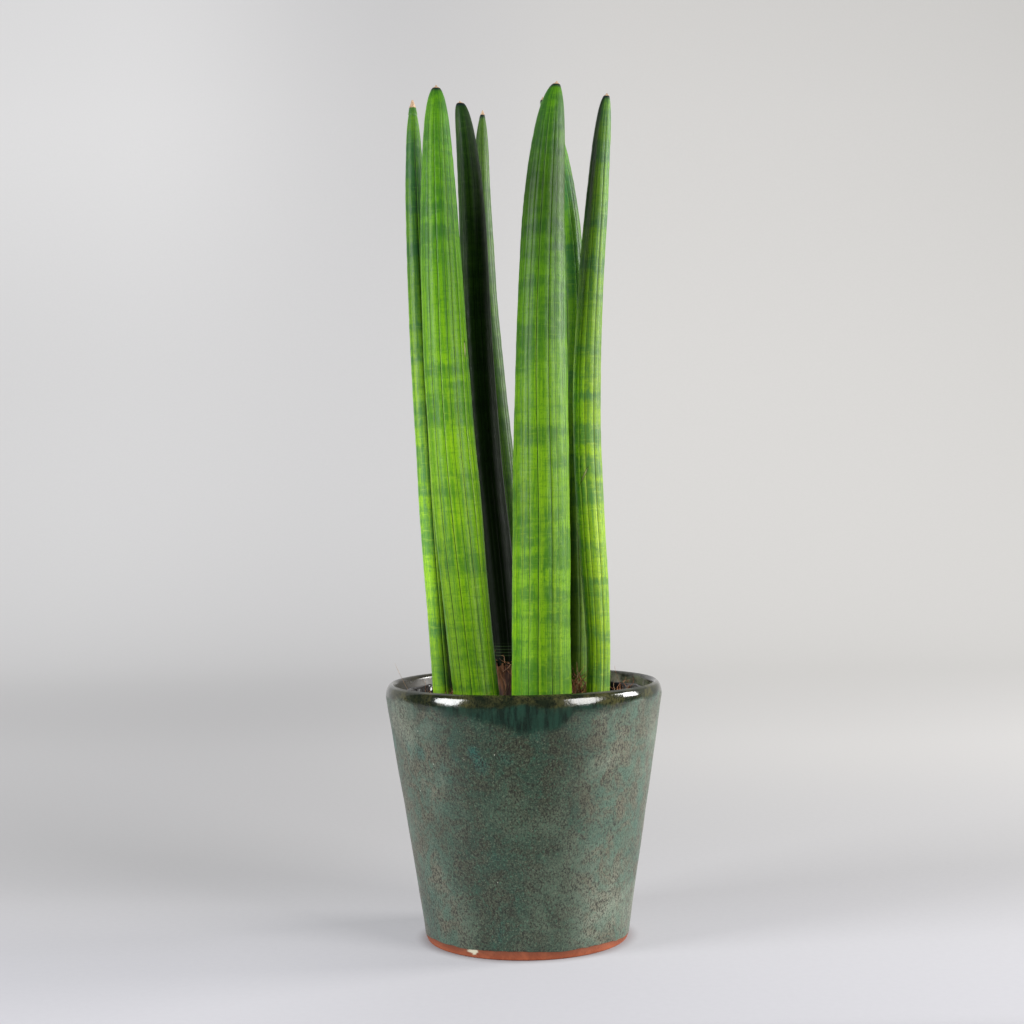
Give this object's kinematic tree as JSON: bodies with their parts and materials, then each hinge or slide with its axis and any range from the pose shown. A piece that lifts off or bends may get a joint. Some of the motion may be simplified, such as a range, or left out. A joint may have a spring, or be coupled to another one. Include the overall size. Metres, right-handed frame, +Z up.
{
  "type": "potted snake plant",
  "caption": "Cylindrical snake plant with stiff upright banded green leaves in potting mix, in a growing pot set inside a tapered green-glazed terracotta planter with a bare clay foot.",
  "frame": {"origin": "centre of the planter's foot, in the plane that the foot rests on", "axes": "+Z up along the planter's axis; -Y towards the thickest leaf, which is the side the planter is seen from; +X to the right of that side"},
  "size_m": [0.135, 0.135, 0.4145],
  "materials": {
    "glazed_terracotta": "gloss",
    "black_plastic": "gloss",
    "potting_mix": "matte",
    "leaf_green": "satin",
    "leaf_dark_green": "satin",
    "dry_sheath": "matte",
    "coir": "matte"
  },
  "bodies": {
    "root": {"planter": "glazed_terracotta", "nursery_pot": "black_plastic", "potting_mix": "potting_mix", "leaf_left_outer": "leaf_green", "leaf_left_front": "leaf_green", "leaf_left_rear": "leaf_dark_green", "leaf_rear": "leaf_dark_green", "leaf_front": "leaf_green", "leaf_right_rear": "leaf_green", "leaf_right": "leaf_green", "dry_sheath": "dry_sheath", "coir_tuft_middle": "coir", "coir_tuft_right": "coir", "coir_tuft_left": "coir", "coir_tuft_front": "coir"}
  },
  "joints": []
}
